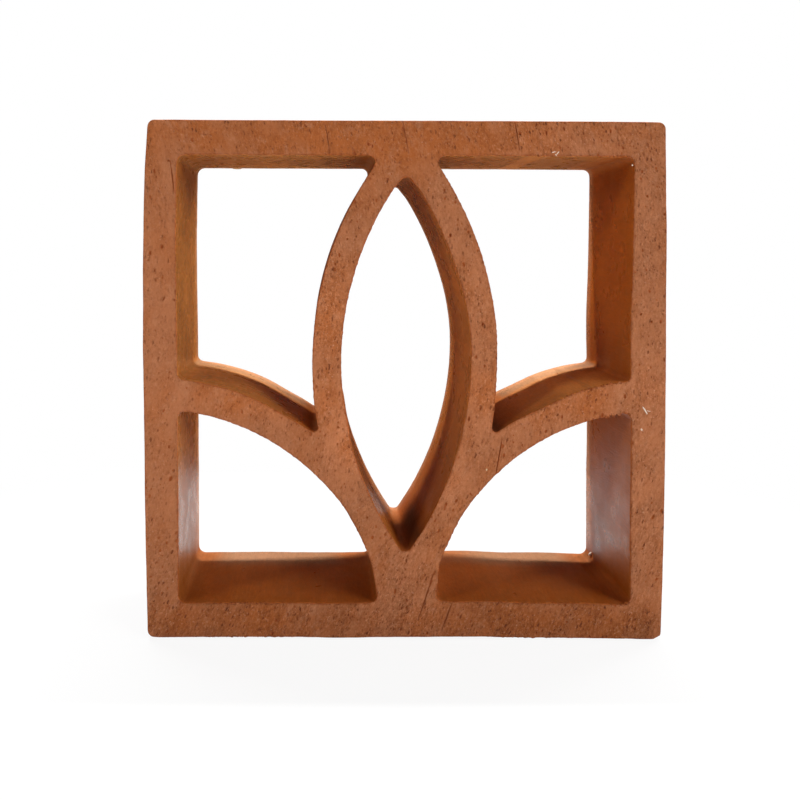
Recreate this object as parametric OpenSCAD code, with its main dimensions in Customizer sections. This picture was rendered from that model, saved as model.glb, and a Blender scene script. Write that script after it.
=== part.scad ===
// Terracotta breeze block, one extruded and fired piece of clay.
// A square frame with flat beds holds a petal opening between two curved
// ribs, which stand on two quarter-round arches. One section, drawn here as
// true arcs, runs straight through the depth of the block.
// It stands on its bottom bed, with its origin at the middle of that bed,
// +Z up and its front face towards -Y.

/* [Block] */
// Width at mid height, where the sides bulge most
block_w = 202; // [160:1:280]
// Height from the bottom bed to the top bed
block_h = 200; // [160:1:280]
// Depth from the front face to the back face
block_d = 60; // [40:1:120]
// Radius of the slight outward bulge of each side
side_arc = 3900; // [2500:50:8000]
// Radius of the four outer corners
outer_r = 3; // [1:0.5:6]

/* [Frame] */
// Thickness of each side at mid height
side_t = 13.6; // [10:0.1:18]
// Thickness of the top and of the bottom
bed_t = 13.7; // [10:0.1:18]

/* [Petal and ribs] */
// Widest width of the petal opening
petal_w = 49; // [38:1:60]
// Height of the petal's lower point above the bottom bed, before rounding
petal_foot = 32.5; // [27:0.5:40]
// Depth of the petal's upper point below the top bed, before rounding
petal_head = 19.5; // [16:0.5:26]
// Thickness of the two curved ribs beside the petal
rib_t = 11.5; // [9:0.5:14]

/* [Arches] */
// Thickness of the two arches
arch_t = 12.4; // [9:0.1:15]
// Width of the clay post between the arches at the bottom bed
post_w = 16.5; // [12:0.5:22]
// How far each arch's centre stands in from the widest point of its side
arch_inset = 4; // [2:0.1:10]

/* [Rounded corners of the openings] */
// Radius where the sides meet the top and the bottom
frame_r = 3; // [1:0.5:6]
// Radius where a rib or an arch runs into the frame
foot_r = 2.5; // [1:0.5:4]
// Radius of the notch between a rib and its arch
notch_r = 1.5; // [1:0.5:3]
// Radius of the petal's two points
point_r = 2.5; // [1:0.5:5]

/* [Hidden] */

// A rounding arc crosses its wall by a hair, since arcs that only touch give no clean edge
HAIR = 0.005;
// How far a rounding piece is seated in the clay behind its corner
SEAT = 1;
// Plenty of steps in each circle for the preview
$fn = 360;

inner_x = block_w / 2 - side_t;
inner_top = block_h - bed_t;
side_centre = [side_arc - block_w / 2, block_h / 2];

petal_half = (block_h - petal_foot - petal_head) / 2;
petal_mid = petal_foot + petal_half;
petal_arc = (pow(petal_half, 2) + pow(petal_w / 2, 2)) / petal_w;
rib_arc = petal_arc + rib_t;
// The left rib and the petal's left edge share a centre to the right of the petal
rib_centre = [petal_arc - petal_w / 2, petal_mid];

arch_centre = [arch_inset - block_w / 2, 0];
arch_in = -arch_centre.x - post_w / 2;
arch_out = arch_in + arch_t;

// Half the chord of a circle of radius r, at distance d from its centre
function half_chord(r, d) = sqrt(r * r - d * d);

// The point at a given distance from a, on the way to b
function towards(a, b, distance) = a + (b - a) * distance / norm(b - a);

// Where circle a meets circle b, on the left hand of the way from a to b
function meeting(a, ra, b, rb) =
    let (d = norm(b - a), u = (b - a) / d, s = (d * d + ra * ra - rb * rb) / (2 * d))
    a + s * u + half_chord(ra, s) * [-u.y, u.x];

// The clay between a corner and its rounding arc, of radius r about centre c,
// which meets the two walls at p and q
module rounding(c, r, p, corner, q) {
    difference() {
        polygon([
            c,
            towards(c, p, r + SEAT),
            towards(c, corner, norm(corner - c) + SEAT),
            towards(c, q, r + SEAT),
        ]);
        translate(c) circle(r + HAIR);
    }
}

// A shape on the left half of the block, and its reflection on the right half
module both_sides() {
    children();
    mirror([1, 0]) children();
}

// A shape on the lower half of the block, and its reflection on the upper half
module bottom_and_top() {
    children();
    translate([0, block_h]) mirror([0, 1]) children();
}

// Flat beds and bulging sides, with sharp corners
module outline() {
    intersection() {
        translate([-block_w / 2, 0]) square([block_w, block_h]);
        translate(side_centre) circle(side_arc, $fn = 3000);
        mirror([1, 0]) translate(side_centre) circle(side_arc, $fn = 3000);
    }
}

// What the lower left outer corner loses when it is rounded
module outer_rounding() {
    z = outer_r;
    x = side_centre.x - half_chord(side_arc - outer_r, side_centre.y - z);
    bed_end = side_centre.x - half_chord(side_arc, side_centre.y);
    rounding([x, z], outer_r, [x, 0], [bed_end, 0], towards(side_centre, [x, z], side_arc));
}

// The space that two discs share, with a point at the top and at the bottom
module petal(r) {
    intersection() {
        translate(rib_centre) circle(r);
        mirror([1, 0]) translate(rib_centre) circle(r);
    }
}

// The left half of the space inside the frame
module left_bay() {
    translate([-inner_x, bed_t]) square([inner_x, inner_top - bed_t]);
}

// The clay between the two arches, below the petal
module post() {
    translate([-post_w / 2, 0]) square([post_w, petal_foot]);
}

// The opening over the left arch and the opening under it
module side_openings() {
    difference() {
        left_bay();
        petal(rib_arc);
        translate(arch_centre) circle(arch_out);
        post();
    }
    intersection() {
        left_bay();
        translate(arch_centre) circle(arch_in);
    }
}

// Roundings of the petal's upper and lower points
module petal_roundings() {
    rise = half_chord(petal_arc - point_r, rib_centre.x);
    for (side = [-1, 1]) {
        c = [0, petal_mid + side * rise];
        left = towards(rib_centre, c, petal_arc);
        right = [-left.x, left.y];
        rounding(c, point_r, left, [0, petal_mid + side * petal_half], right);
    }
}

// Roundings of the opening over the left arch: frame, rib, notch and arch
module upper_roundings() {
    frame = [-inner_x + frame_r, inner_top - frame_r];
    rounding(frame, frame_r, [-inner_x, frame.y], [-inner_x, inner_top], [frame.x, inner_top]);

    rib_z = inner_top - foot_r;
    rib = [rib_centre.x - half_chord(rib_arc + foot_r, rib_z - petal_mid), rib_z];
    rib_corner = [rib_centre.x - half_chord(rib_arc, inner_top - petal_mid), inner_top];
    rounding(rib, foot_r, [rib.x, inner_top], rib_corner, towards(rib_centre, rib, rib_arc));

    notch = meeting(arch_centre, arch_out + notch_r, rib_centre, rib_arc + notch_r);
    notch_corner = meeting(arch_centre, arch_out, rib_centre, rib_arc);
    rounding(notch, notch_r, towards(arch_centre, notch, arch_out), notch_corner,
        towards(rib_centre, notch, rib_arc));

    arch_x = -inner_x + foot_r;
    arch = [arch_x, half_chord(arch_out + foot_r, arch_x - arch_centre.x)];
    arch_corner = [-inner_x, half_chord(arch_out, -inner_x - arch_centre.x)];
    rounding(arch, foot_r, [-inner_x, arch.y], arch_corner, towards(arch_centre, arch, arch_out));
}

// Roundings of the opening under the left arch: crown, frame and foot
module lower_roundings() {
    crown_x = -inner_x + foot_r;
    crown = [crown_x, half_chord(arch_in - foot_r, crown_x - arch_centre.x)];
    crown_corner = [-inner_x, half_chord(arch_in, -inner_x - arch_centre.x)];
    rounding(crown, foot_r, [-inner_x, crown.y], crown_corner,
        towards(arch_centre, crown, arch_in));

    frame = [-inner_x + frame_r, bed_t + frame_r];
    rounding(frame, frame_r, [-inner_x, frame.y], [-inner_x, bed_t], [frame.x, bed_t]);

    foot_z = bed_t + foot_r;
    foot = [arch_centre.x + half_chord(arch_in - foot_r, foot_z), foot_z];
    foot_corner = [arch_centre.x + half_chord(arch_in, bed_t), bed_t];
    rounding(foot, foot_r, [foot.x, bed_t], foot_corner, towards(arch_centre, foot, arch_in));
}

// The five openings, with their corners rounded
module openings() {
    difference() {
        petal(petal_arc);
        petal_roundings();
    }
    both_sides()
        difference() {
            side_openings();
            upper_roundings();
            lower_roundings();
        }
}

// The whole section, as the die would cut it
module section() {
    difference() {
        outline();
        openings();
        both_sides() bottom_and_top() outer_rounding();
    }
}

module breeze_block() {
    color("#a96b48")
        rotate([90, 0, 0])
            linear_extrude(block_d, center = true) section();
}

breeze_block();
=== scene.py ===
# %% [markdown]
# # A fired clay breeze block
# A breeze block is a hollow building block for screen walls. This one is made as bricks
# are: a stiff column of clay is pushed through a die that has the shape of the openings,
# a wire cuts a slice from the column, and the slice is dried and fired.
# Two kinds of surface come from that. The walls that slid along the die are smooth, with
# faint lines that run through the depth. The two faces that the wire cut are rough: the
# wire drags grains along, tears out pits and leaves slanting marks.
# The lesson follows the same order: read the section, push it through, cut it, tear the
# edges, open the pits, give each surface its finish, and light the block.

# %% Load the frame and measure the block
import math

import bmesh
import bpy
import numpy as np
from mathutils import Matrix, Vector, geometry, kdtree


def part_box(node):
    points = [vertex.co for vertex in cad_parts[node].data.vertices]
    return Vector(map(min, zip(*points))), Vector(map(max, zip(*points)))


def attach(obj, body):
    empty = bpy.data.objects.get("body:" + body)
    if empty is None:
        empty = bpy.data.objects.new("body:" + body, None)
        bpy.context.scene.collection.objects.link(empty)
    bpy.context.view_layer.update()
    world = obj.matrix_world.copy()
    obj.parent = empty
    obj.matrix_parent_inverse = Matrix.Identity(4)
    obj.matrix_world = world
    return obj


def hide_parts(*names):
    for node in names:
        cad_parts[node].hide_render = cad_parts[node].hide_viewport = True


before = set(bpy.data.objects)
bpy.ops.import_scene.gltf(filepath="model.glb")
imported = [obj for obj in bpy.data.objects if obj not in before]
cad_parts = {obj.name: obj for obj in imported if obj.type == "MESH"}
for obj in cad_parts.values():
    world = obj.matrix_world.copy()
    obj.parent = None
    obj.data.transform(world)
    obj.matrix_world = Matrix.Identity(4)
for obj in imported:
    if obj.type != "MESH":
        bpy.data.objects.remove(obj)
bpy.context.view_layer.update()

MM = 0.001
HAIR = 0.001 * MM  # points nearer than this are one point
SEED = 7
NODE = "breeze_block"
trees = bpy.data.node_groups
low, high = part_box(NODE)
block_w = high.x - low.x
block_h = high.z - low.z
block_d = high.y - low.y
print("block, mm:", [round(side / MM, 2) for side in (block_w, block_d, block_h)])

# %% [markdown]
# ## Node trees in few words
# Blender's node trees can be wired by hand or by script. A script repeats itself less
# with a few small helpers: one adds a node and fills its inputs, and others do sums on
# numbers and vectors. They serve Geometry Nodes and shaders alike. A few more make a mesh,
# an object and a material.

# %% Helpers that build node trees
def kind_of(usual):
    """The kind of socket that a usual value needs; a word is the kind itself."""
    if isinstance(usual, str):
        return usual
    if isinstance(usual, tuple):
        return "Color" if len(usual) == 4 else "Vector"
    return "Int" if isinstance(usual, int) else "Float"


def new_tree(name, family, inputs, outputs):
    """An empty node group and its two ends: a socket is given its kind or its usual value."""
    tree = trees.new(name, family + "NodeTree")
    for way, sockets in (("INPUT", inputs), ("OUTPUT", outputs)):
        for label, usual in sockets.items():
            kind = "NodeSocket" + kind_of(usual)
            socket = tree.interface.new_socket(label, in_out=way, socket_type=kind)
            if not isinstance(usual, str):
                socket.default_value = usual
    given = tree.nodes.new("NodeGroupInput").outputs
    result = tree.nodes.new("NodeGroupOutput").inputs
    return tree, given, result


def add(tree, kind, inputs=None, **settings):
    """Add a node, set its options, and link or fill its inputs by name or number."""
    node = tree.nodes.new(kind)
    for option, value in settings.items():
        setattr(node, option, value)
    for key, value in (inputs or {}).items():
        if isinstance(value, bpy.types.NodeSocket):
            tree.links.new(value, node.inputs[key])
        else:
            node.inputs[key].default_value = value
    return node


print("helpers for trees ready")

# %% Helpers for sums on numbers and vectors
def maths(tree, operation, *values):
    """The result of one arithmetic step on numbers."""
    return add(tree, "ShaderNodeMath", dict(enumerate(values)), operation=operation).outputs[0]


def times(tree, product, *factors):
    """The product of two or more numbers."""
    for factor in factors:
        product = maths(tree, "MULTIPLY", product, factor)
    return product


def plus(tree, one, other):
    """The sum of two numbers."""
    return maths(tree, "ADD", one, other)


def minus(tree, one, other):
    """One number less the other."""
    return maths(tree, "SUBTRACT", one, other)


def times_plus(tree, one, other, rest):
    """One number times another, plus a third."""
    return maths(tree, "MULTIPLY_ADD", one, other, rest)


def vectors(tree, operation, *values):
    """The result of one arithmetic step on vectors."""
    node = add(tree, "ShaderNodeVectorMath", dict(enumerate(values)), operation=operation)
    return node.outputs["Value" if operation in ("DOT_PRODUCT", "LENGTH") else "Vector"]


def join_axes(tree, **numbers):
    """A vector made of numbers, with 0 for each axis that isn't named."""
    return add(tree, "ShaderNodeCombineXYZ", numbers).outputs[0]


def split_axes(tree, vector):
    """The X, Y and Z of a vector, as three sockets."""
    return add(tree, "ShaderNodeSeparateXYZ", {0: vector}).outputs


def scaled(tree, vector, factor):
    """A vector or a colour times a number, which may itself vary over the surface."""
    node = add(tree, "ShaderNodeVectorMath", {0: vector, "Scale": factor}, operation="SCALE")
    return node.outputs["Vector"]


def remap(tree, value, old_low, old_high, new_low=0.0, new_high=1.0):
    """A value moved from one range to another, with soft ends, and held there."""
    fills = {"Value": value, 1: old_low, 2: old_high, 3: new_low, 4: new_high}
    return add(tree, "ShaderNodeMapRange", fills, interpolation_type="SMOOTHSTEP").outputs[0]


def cloud(tree, vector, size, detail=2.0, roughness=0.5):
    """Soft random values from 0 to 1, in clouds about as large as size, in metres."""
    per_metre = maths(tree, "DIVIDE", 1.0, size)
    fills = {"Vector": vector, "Scale": per_metre, "Detail": detail, "Roughness": roughness}
    return add(tree, "ShaderNodeTexNoise", fills).outputs["Fac"]


print("helpers for sums ready")

# %% Helpers that build objects
def new_object(name, data):
    """A new object in the scene, made of a mesh, a light or a camera."""
    thing = bpy.data.objects.new(name, data)
    bpy.context.scene.collection.objects.link(thing)
    return thing


def new_mesh(name, points, edges=(), faces=()):
    """A mesh of points, with edges or faces that join them by number."""
    mesh = bpy.data.meshes.new(name)
    mesh.from_pydata([tuple(point) for point in points], edges, faces)
    return mesh


def carry(mesh, name, values):
    """Give each point of a mesh a number, or a vector where the values have columns."""
    kind, label = ("FLOAT_VECTOR", "vector") if values.ndim == 2 else ("FLOAT", "value")
    mesh.attributes.new(name, kind, "POINT").data.foreach_set(label, values.ravel())


def new_material(name):
    """A new material with a node tree."""
    material = bpy.data.materials.new(name)
    material.use_nodes = True
    return material


print("helpers for objects ready")

# %% [markdown]
# ## The section, read off the frame
# The die gives the block its outline: a square frame with softly bulging sides, a petal
# between two ribs, and two arches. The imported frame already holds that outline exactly,
# so it's read from the front of the CAD node instead of being drawn twice. Walking round
# the front face in its own winding keeps the clay on the left hand, which later tells
# which way is into the clay.

# %% Read the rings of the section
def front_rings(node, front):
    """Rings of (x, z) corners round the clay and round each opening, clay on the left."""
    mesh = bmesh.new()
    mesh.from_mesh(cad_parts[node].data)
    bmesh.ops.remove_doubles(mesh, verts=mesh.verts, dist=HAIR)
    faces = [f for f in mesh.faces if all(abs(v.co.y - front) < HAIR for v in f.verts)]
    following = {}
    for face in faces:
        for corner in face.loops:
            if not all(other in faces for other in corner.edge.link_faces):
                following[corner.vert] = corner.link_loop_next.vert
    rings = []
    while following:
        start, vert = next(iter(following.items()))
        ring = [(start.co.x, start.co.z)]
        del following[start]
        while vert is not start:
            ring.append((vert.co.x, vert.co.z))
            vert = following.pop(vert)
        rings.append(np.array(ring))
    mesh.free()
    return rings


rings = front_rings(NODE, low.y)
print("rings:", len(rings), "with corners", [len(ring) for ring in rings])

# %% [markdown]
# ## Places that the wire tore
# The wire left ragged stretches on the front edges of the openings, the worst of them
# above and below the outer end of the right-hand arch. The outline is sampled finely
# there, so that the tears can be real shapes. Elsewhere about one point for each
# millimetre is enough, with a few more where the outline turns. A rough edge of a fifth
# of that strength runs round every opening.

# %% Sample the rings
TEARS = [  # (centre x, centre z, half length, strength), from the middle of the bottom bed
    (66 * MM, 96.5 * MM, 9 * MM, 0.6),
    (79 * MM, 100 * MM, 9 * MM, 1.2),
    (79 * MM, 87 * MM, 10 * MM, 1.1),
    (84 * MM, 14 * MM, 6 * MM, 0.6),
    (50 * MM, 186 * MM, 5 * MM, 0.8),
    (81 * MM, 186 * MM, 6 * MM, 0.7),
    (-60 * MM, 14 * MM, 26 * MM, 0.4),
    (50 * MM, 14 * MM, 26 * MM, 0.35),
    (-23 * MM, 89 * MM, 4 * MM, 0.8),
]
ROUGH_EDGE = 0.2
PLAIN_STEP = 1.0 * MM
TORN_STEP = 0.55 * MM
TURN_STEP = math.radians(13)  # a turn of so much is worth one more point


def torn(points):
    """How torn the front edge is at each (x, z) point: 0 is not at all."""
    amount = np.zeros(len(points))
    for x, z, reach, strength in TEARS:
        away = np.hypot(points[:, 0] - x, points[:, 1] - z) / reach
        amount = np.maximum(amount, strength * np.clip(1.5 - 1.5 * away, 0, 1))
    return amount


def sample_ring(corners, piece=0.4 * MM):
    """Points round a ring, spaced by its steps and closer together where it turns."""
    ahead = np.roll(corners, -1, 0) - corners
    heading = np.arctan2(ahead[:, 1], ahead[:, 0])
    turn = np.abs((heading - np.roll(heading, 1) + math.pi) % (2 * math.pi) - math.pi)
    points, costs = [], []
    for i, (corner, step) in enumerate(zip(corners, ahead)):
        count = max(1, round(np.hypot(*step) / piece))
        part = corner + step * (np.arange(count)[:, None] / count)
        spacing = PLAIN_STEP + (TORN_STEP - PLAIN_STEP) * (torn(part) > 0)
        bend = (turn[i] + turn[(i + 1) % len(turn)]) / 2 / count
        points.append(part)
        costs.append(np.hypot(*step) / count / spacing + bend / TURN_STEP)
    points = np.vstack([*points, corners[:1]])
    reached = np.concatenate([[0], np.cumsum(np.concatenate(costs))])
    wanted = np.linspace(0, reached[-1], round(reached[-1]) + 1)[:-1]
    ring = np.column_stack([np.interp(wanted, reached, points[:, k]) for k in (0, 1)])
    for _ in range(2):
        ring = ring / 2 + (np.roll(ring, 1, 0) + np.roll(ring, -1, 0)) / 4
    return ring


sampled = [sample_ring(ring) for ring in rings]
print("points round the rings:", [len(ring) for ring in sampled])

# %% [markdown]
# ## Warped by drying and firing
# Clay shrinks and warps in the kiln, so no block is as true as its drawing. Two lists
# say how this one differs. The first holds broad bends, each a product of powers of the
# position, which runs from -1 to 1 across and up the block. They lean the upper right
# side out, draw the corners in and hollow the bottom bed by less than a millimetre. The
# second holds small pushes: a place, a shift and how far the shift reaches. Last, the
# lower right corner was knocked flat before firing.

# %% How this block is bent
BENDS = [  # (power of across, power of up, mm sideways, mm upwards)
    (0, 1, -0.33, -0.26),
    (0, 2, 0.2, 0.39),
    (0, 3, 0.41, -0.16),
    (1, 0, -0.1, 0.0),
    (1, 1, 0.32, 0.11),
    (2, 0, -0.19, -0.29),
    (2, 1, -0.22, 0.25),
    (3, 0, -0.17, -0.22),
]
PUSHES = [  # (x, z, shift sideways, shift upwards, reach across, reach up), all in mm
    (23, 118, 0.8, 0, 6, 25),  # inner wall of the right rib
    (37, 98, -0.6, 0, 6, 16),  # outer wall of the right rib
    (-22, 85, 0.5, 0, 6, 6),  # inner wall of the left rib, beside its arch
    (-46, 88, -0.3, -0.6, 12, 6),  # top of the left arch
    (54, 91, 0.3, -0.7, 15, 6),  # top of the right arch
    (-25, 52, 0.3, 0.2, 10, 10),  # underside of the left arch
    (16, 38, 0.4, -0.2, 5, 10),  # foot of the right arch
    (11, 16, 2.6, 0.7, 6, 10),
    (-11, 16, -1.2, 0.2, 6, 10),  # foot of the left arch
    (-2.5, 36.5, 0.5, -0.9, 1.6, 2.2),  # lower point of the petal, drawn square
    (2.5, 36.5, -0.5, -0.9, 1.6, 2.2),
    (0, 179.5, 0, -0.7, 5, 3),  # upper point of the petal
    (-2.2, 177, 0.4, 0, 2, 2.5),
    (2.6, 176, -0.4, 0, 2, 3),
    (87, 118, -0.75, 0, 5, 22),  # upper right opening, low on its right
    (87, 48, -0.3, 0, 5, 30),  # lower right opening, on its right
    (-88, 150, -0.4, 0, 5, 25),  # upper left opening, on its left
    (30, 14, 0, 0.9, 15, 5),  # floor of the right opening
    (65, 14, 0, 0.5, 15, 5),
    (-60, 14, 0, 0.25, 20, 5),  # floor of the left opening
    (-100, 198, 0.6, 0, 6, 12),  # upper left corner
    (-100, 80, 0.25, 0, 6, 25),  # left side
    (100, 155, 0.25, 0, 6, 15),  # right side
    (-24, 0, 0, -0.3, 14, 6),  # bottom bed
    (30, 0, 0, 0.2, 12, 6),
]
print("bends:", len(BENDS), "and pushes:", len(PUSHES))

# %% Warp the section
KNOCKED_WAY = np.array([-0.49, 0.87])  # the way in which the lower right corner was knocked
KNOCKED_DEPTH = 2.35 * MM


def warp(points):
    """Move (x, z) points as the kiln did, staying inside the block's box."""
    x, z = points[:, 0], points[:, 1]
    across, up = 2 * x / block_w, 2 * z / block_h - 1
    moved = points.copy()
    for power_x, power_z, sideways, upwards in BENDS:
        share = across**power_x * up**power_z
        moved += np.outer(share, (sideways * MM, upwards * MM))
    for at_x, at_z, sideways, upwards, wide, tall in PUSHES:
        away = ((x / MM - at_x) / wide) ** 2 + ((z / MM - at_z) / tall) ** 2
        moved += np.outer(np.exp(-away), (sideways * MM, upwards * MM))
    corner = np.array([block_w / 2, 0])
    cut_off = np.clip(KNOCKED_DEPTH - (moved - corner) @ KNOCKED_WAY, 0, None)
    moved += np.outer(cut_off, KNOCKED_WAY)
    return np.clip(moved, (low.x, low.z), (high.x, high.z))


warped = [warp(ring) for ring in sampled]
shift = [np.hypot(*(new - old).T).max() for new, old in zip(warped, sampled)]
print("largest shift of each ring, mm:", [round(s / MM, 2) for s in shift])

# %% [markdown]
# ## A flat slice of clay with points inside it
# An outline alone gives a face of long thin triangles, which can't carry dents or soft
# edges. So the slice gets two rows of points just inside every edge and a grid of points
# over the rest, and a Delaunay triangulation joins them. Every point keeps how far it is
# from the edge, and every edge point keeps its way into the clay.

# %% Triangulate the slice
EDGE_ROWS = (0.4 * MM, 1.05 * MM)
GRID = 1.4 * MM
GRID_SHAKE = 0.2  # share of the grid's step
CLEAR = 1.6 * MM  # the grid keeps so far from every edge


def into_clay(ring):
    """Unit vectors that point from a ring's points into the clay."""
    along = np.roll(ring, -1, 0) - np.roll(ring, 1, 0)
    normal = np.column_stack([-along[:, 1], along[:, 0]])
    return normal / np.linalg.norm(normal, axis=1)[:, None]


def slice_of_clay(rings):
    """Points, their way into the clay, their distance from the edge, and triangles."""
    edge = np.vstack(rings)
    ways = np.vstack([into_clay(ring) for ring in rings])
    links, first = [], 0
    for ring in rings:
        links += [(first + i, first + (i + 1) % len(ring)) for i in range(len(ring))]
        first += len(ring)
    tree = kdtree.KDTree(len(edge))
    for i, (x, z) in enumerate(edge):
        tree.insert((x, z, 0), i)
    tree.balance()
    chance = np.random.default_rng(SEED)
    inside = []
    for row, z in enumerate(np.arange(0, block_h, GRID * math.sqrt(3) / 2)):
        for x in np.arange(-block_w / 2 + row % 2 * GRID / 2, block_w / 2, GRID):
            spot = np.array([x, z]) + chance.uniform(-GRID_SHAKE, GRID_SHAKE, 2) * GRID
            _, index, away = tree.find((*spot, 0))
            if away > CLEAR and np.dot(spot - edge[index], ways[index]) > 0:
                inside.append((*spot, away))
    inside = np.array(inside)
    rows = [np.column_stack([edge + ways * d, np.full(len(edge), d)]) for d in EDGE_ROWS]
    spots = np.vstack([np.column_stack([edge, np.zeros(len(edge))]), *rows, inside])
    flat = [Vector(spot[:2]) for spot in spots]
    made = geometry.delaunay_2d_cdt(flat, links, [], 0, HAIR / 10)
    ways = np.vstack([ways, np.zeros((len(spots) - len(ways), 2))])
    return spots, ways, made


# A triangle with all three corners on the outline lies in an opening, or it would hold
# one of the points just inside the edge.
spots, ways, made = slice_of_clay(warped)
edge_count = sum(len(ring) for ring in warped)
triangles = [list(face) for face in made[2] if max(face) >= edge_count]
assert len(made[0]) == len(spots), "the triangulation kept every point and added none"
area = sum(geometry.area_tri(*(made[0][i].to_3d() for i in face)) for face in triangles)
print("slice:", len(spots), "points,", len(triangles), "triangles,", round(area / MM**2), "mm2")

# %% [markdown]
# ## What the slice carries
# The slice goes to the front of the block, and each of its points is given numbers that
# the later steps read: the way into the clay, how torn the edge is, how the clay differs
# there, and the light and shade painted on the walls. Patches change the warmth, the grit
# and the tone of an area. Flashes are for the walls: a pale flash, a deeper ember orange,
# and a shade that is painted light above 0 and painted shade below 0.

# %% Put the slice at the front of the block
OUTER_EDGE = 5 * MM  # edges nearer than this to the outside belong to no opening


def face_back(face):
    """The triangle turned so that its normal points to the back."""
    a, b, c = (spots[i, :2] for i in face)
    turn = (b[0] - a[0]) * (c[1] - a[1]) - (b[1] - a[1]) * (c[0] - a[0])
    return face[::-1] if turn > 0 else face


section_x, section_z, inset = spots.T
places = [(x, low.y, z) for x, z in zip(section_x, section_z)]
section = new_mesh("clay_section", places, faces=[face_back(face) for face in triangles])
carry(section, "inset", inset)
carry(section, "inward", np.column_stack([ways[:, 0], np.zeros(len(ways)), ways[:, 1]]))
from_side = block_w / 2 - np.abs(section_x)
from_bed = block_h / 2 - np.abs(section_z - block_h / 2)
in_opening = np.minimum(from_side, from_bed) > OUTER_EDGE
carry(section, "torn", np.maximum(torn(spots[:, :2]), ROUGH_EDGE * in_opening))
print("section at y =", round(low.y / MM, 2), "mm")

# %% Where the cut faces differ
PATCHES = [  # (x, z, reach across, reach up, warmth, grit, tone), all lengths in mm
    (-40, 194, 55, 10, 0.9, -0.1, 0.0),  # top, left of the middle
    (10, 190, 40, 12, 0.9, 0.0, 0.0),
    (60, 197, 40, 8, 0.4, 0.4, 0.0),
    (53, 196, 14, 7, -0.3, 0.2, 0.12),
    (90, 190, 18, 16, -0.2, 0.1, 0.0),  # upper right corner
    (-94, 130, 10, 60, -0.1, -0.4, 0.04),  # left side
    (-94, 45, 10, 40, -0.2, 0.0, 0.05),
    (94, 150, 10, 40, 0.0, 0.2, -0.03),  # right side
    (94, 60, 10, 50, -0.3, 0.4, 0.05),
    (95, 100, 8, 10, -0.2, 0.0, 0.12),
    (-55, 92, 30, 9, 0.8, 0.1, 0.18),  # left arch
    (55, 92, 30, 9, 0.8, 0.3, 0.13),  # right arch
    (-30, 125, 10, 35, 0.4, 0.3, 0.24),  # ribs
    (-21, 76, 10, 12, 0.2, 0.1, 0.4),
    (30, 125, 10, 35, 0.3, 0.3, 0.12),
    (32, 90, 8, 12, -0.1, 0.0, 0.12),
    (18, 62, 8, 14, 0.1, 0.1, 0.22),
    (14, 168, 8, 14, -0.5, 0.0, 0.05),
    (0, 18, 16, 24, 0.0, 0.7, 0.26),  # post
    (-60, 7, 45, 8, 1.0, 0.8, 0.15),  # bottom
    (60, 7, 45, 8, 1.1, 0.8, 0.04),
    (96, 5, 6, 6, 0.0, 0.2, -0.15),
]
print("patches:", len(PATCHES))

# %% Where the walls differ, and where light and shade are painted on them
# The shade column is painted light and shade. Below 0 it darkens the corners, the notches and the
# ends of the lower openings, where shadow falls. Above 0 it lightens the walls, ceilings and arch
# tops that the lamps light. Where it is darkest, the ember deepens the painted shade to a dark
# red.
WALL_FLASHES_AND_PAINTED_LIGHT_SHADE = [  # (x, z, reach across, reach up, pale flash, ember, shade), for the walls only
    (-87, 140, 8, 60, 1.0, 0.0, 0.14),  # upper left opening, on its left
    (-86, 182, 6, 8, 0.0, 0.2, -0.25),
    (-87, 108, 6, 10, 0.0, 0.0, -0.2),
    (-50, 186, 45, 5, 1.0, 0.0, 0.16),  # its ceiling
    (-14, 186, 8, 5, 0.0, 0.2, -0.3),
    (50, 186, 45, 5, 0.9, 0.0, 0.08),  # the other ceiling
    (-60, 98, 35, 14, 1.0, 0.0, 0.3),  # top of the left arch
    (62, 98, 35, 14, 1.0, 0.0, 0.25),  # top of the right arch
    (-87, 70, 8, 14, 0.5, 0.0, 0.25),  # lower left opening, on its left
    (-87, 22, 8, 12, 0.3, 0.1, -0.15),
    (87, 50, 8, 30, 0.1, 0.3, 0.05),  # lower right opening, on its right
    (85, 88, 8, 8, 0.0, 0.3, -0.25),
    (87, 145, 8, 50, 0.3, 0.7, 0.15),  # upper right opening, on its right
    (86, 181, 6, 8, 0.0, 0.4, -0.3),
    (87, 105, 8, 12, 0.0, 0.3, -0.3),
    (24, 110, 10, 60, 1.0, 0.5, 0.2),  # right side of the petal
    (20, 150, 10, 22, 0.0, 0.0, 0.22),
    (12, 56, 5, 10, 0.0, 0.4, -0.2),  # its lower point
    (5, 38, 5, 9, 0.0, 1.0, -0.8),
    (-6, 46, 4, 10, 0.4, 0.0, 0.1),
    (-36, 81, 4, 4, 0.0, 0.6, -0.35),  # notches between the ribs and the arches
    (34, 80, 6, 6, 0.0, 0.8, -0.75),
    (44, 84, 7, 4, 0.0, 0.5, -0.4),
    (-16, 13.7, 10, 4, 0.0, 0.4, -0.3),  # inner ends of the lower openings
    (24, 13.7, 12, 4, 0.0, 0.4, -0.2),
    (-84, 15, 8, 5, 0.0, 0.3, -0.2),  # and their outer ends
    (82, 16, 8, 7, 0.0, 0.3, -0.25),
]
print("flashes:", len(WALL_FLASHES_AND_PAINTED_LIGHT_SHADE))

# %% Give the slice its numbers
def patched(points, patches, column):
    """The sum of one column of the patches at each (x, z) point."""
    total = np.zeros(len(points))
    for patch in patches:
        across = (points[:, 0] / MM - patch[0]) / patch[2]
        up = (points[:, 1] / MM - patch[1]) / patch[3]
        total += patch[column] * np.exp(-(across**2) - up**2)
    return total


for names, patches in (("warmth grit tone", PATCHES), ("flash ember shade", WALL_FLASHES_AND_PAINTED_LIGHT_SHADE)):
    for column, name in enumerate(names.split(), 4):
        carry(section, name, patched(spots[:, :2], patches, column))
block = new_object("block_clay", section)
print("the slice carries:", [layer.name for layer in section.attributes if layer.name[0] != "."])

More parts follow.
